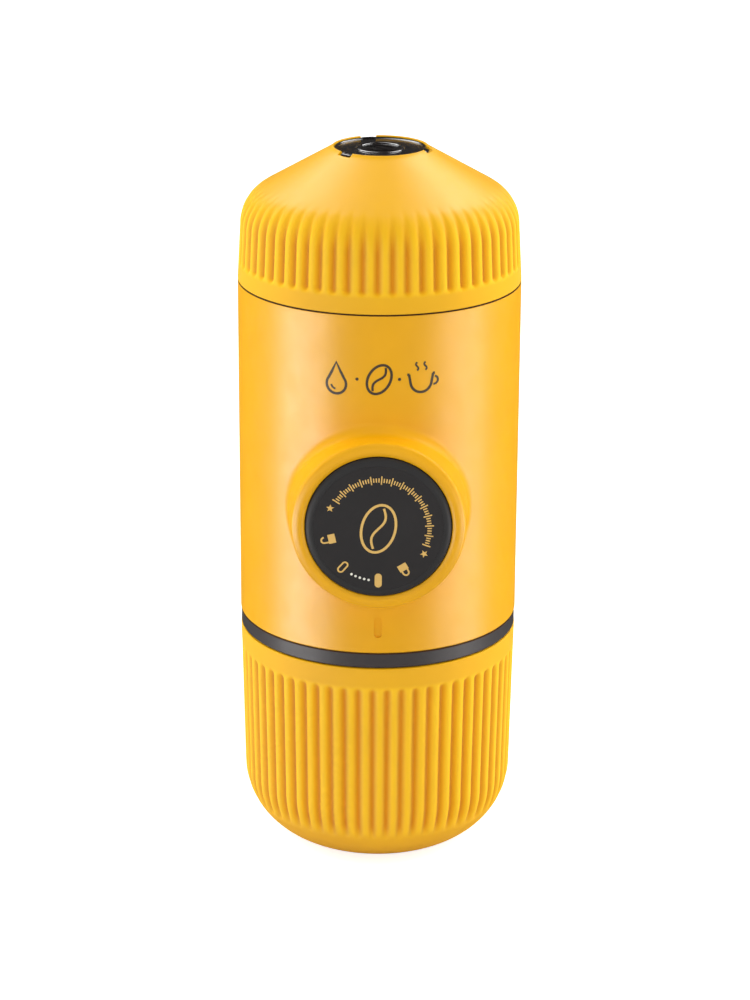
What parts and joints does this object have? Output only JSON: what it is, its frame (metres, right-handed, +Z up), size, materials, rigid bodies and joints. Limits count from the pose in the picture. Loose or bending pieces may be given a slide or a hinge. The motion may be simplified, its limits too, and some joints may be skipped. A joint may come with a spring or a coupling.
{
  "type": "handheld manual espresso maker",
  "caption": "Round pocket espresso maker: a fluted water tank as the foot, a body with a turn-to-lock hand piston, and a fluted cup as the lid over the coffee outlet.",
  "frame": {"origin": "centre of the water tank's flat foot, on the surface that it stands on", "axes": "+Z up along the body's axis, -Y towards the front, where the piston is, +X to the right seen from the front"},
  "size_m": [0.0608, 0.0678, 0.156],
  "materials": {
    "yellow_plastic": "satin, fine moulded grain",
    "dark_band_plastic": "satin",
    "piston_plastic": "satin",
    "dial_plastic": "fine matt, printed",
    "black_pad_rubber": "smooth, glossy",
    "pump_plastic": "satin, glass-filled",
    "black_plastic": "satin",
    "clear_silicone": "smooth",
    "dark_rubber": "smooth",
    "red_silicone": "smooth",
    "stainless_steel": "brushed",
    "spring_steel": "drawn wire",
    "polished_steel": "polished"
  },
  "bodies": {
    "body": {"body_shell": "yellow_plastic", "tank_head": "dark_band_plastic", "inlet_strainer": "stainless_steel", "air_vent_valve": "clear_silicone", "tie_screws": "stainless_steel", "screw_seals": "dark_rubber", "pump_body": "pump_plastic", "port_o_rings": "dark_rubber", "return_spring": "spring_steel", "inlet_valve_seat": "clear_silicone", "inlet_valve_spring": "spring_steel", "outlet_valve_seat": "clear_silicone", "outlet_valve_spring": "spring_steel", "brew_head": "black_plastic", "cup_o_ring": "dark_rubber", "filter_basket": "stainless_steel"},
    "tank_seal": {"tank_gasket": "clear_silicone"},
    "tank": {"water_tank": "yellow_plastic"},
    "plunger": {"plunger": "black_plastic", "plunger_o_rings": "dark_rubber", "plunger_clip": "spring_steel"},
    "piston": {"piston_cap": "piston_plastic", "dial_plate": "dial_plastic"},
    "inlet_ball": {"inlet_valve_ball": "polished_steel"},
    "outlet_ball": {"outlet_valve_ball": "polished_steel"},
    "portafilter_seal": {"group_gasket": "red_silicone"},
    "portafilter": {"portafilter": "black_plastic", "filter_screen": "stainless_steel", "outlet_head": "black_plastic", "crema_spring": "spring_steel", "outlet_nozzle": "dark_rubber"},
    "crema_poppet": {"crema_valve": "clear_silicone"},
    "cup": {"cup": "yellow_plastic", "cup_foot_pad": "black_pad_rubber"}
  },
  "joints": [
    {"name": "tank_drop", "type": "slide", "parent": "body", "child": "tank_seal", "axis": [0, 0, -1], "range_m": [0, 0.013]},
    {"name": "tank_turn", "type": "hinge", "parent": "tank_seal", "child": "tank", "pos_m": [0, 0, 0], "axis": [0, 0, -1], "range_deg": [0, 585]},
    {"name": "piston_stroke", "type": "slide", "parent": "body", "child": "plunger", "axis": [0, -1, 0], "range_m": [0, 0.014], "deforming": ["return_spring"]},
    {"name": "piston_turn", "type": "hinge", "parent": "plunger", "child": "piston", "pos_m": [0, 0, 0.0834], "axis": [0, -1, 0], "range_deg": [0, 45]},
    {"name": "inlet_valve_lift", "type": "slide", "parent": "body", "child": "inlet_ball", "axis": [0, 0, 1], "range_m": [0, 0.001], "stiffness_N_per_m": 40, "springref_m": -0.002, "deforming": ["inlet_valve_spring"]},
    {"name": "outlet_valve_lift", "type": "slide", "parent": "body", "child": "outlet_ball", "axis": [0, 0, 1], "range_m": [0, 0.001], "stiffness_N_per_m": 40, "springref_m": -0.002, "deforming": ["outlet_valve_spring"]},
    {"name": "portafilter_rise", "type": "slide", "parent": "body", "child": "portafilter_seal", "axis": [0, 0, 1], "range_m": [0, 0.004]},
    {"name": "portafilter_turn", "type": "hinge", "parent": "portafilter_seal", "child": "portafilter", "pos_m": [0, 0, 0.137], "axis": [0, 0, 1], "range_deg": [0, 360]},
    {"name": "crema_valve_lift", "type": "slide", "parent": "portafilter", "child": "crema_poppet", "axis": [0, 0, 1], "range_m": [0, 0.001], "stiffness_N_per_m": 400, "springref_m": -0.002, "deforming": ["crema_spring"]},
    {"name": "cup_lift", "type": "slide", "parent": "body", "child": "cup", "axis": [0, 0, 1], "range_m": [0, 0.04]}
  ],
  "couplings": [
    {"joint": "tank_turn", "follows": "tank_drop", "rad_per_m": 785.39},
    {"joint": "portafilter_turn", "follows": "portafilter_rise", "rad_per_m": 1570.8}
  ]
}
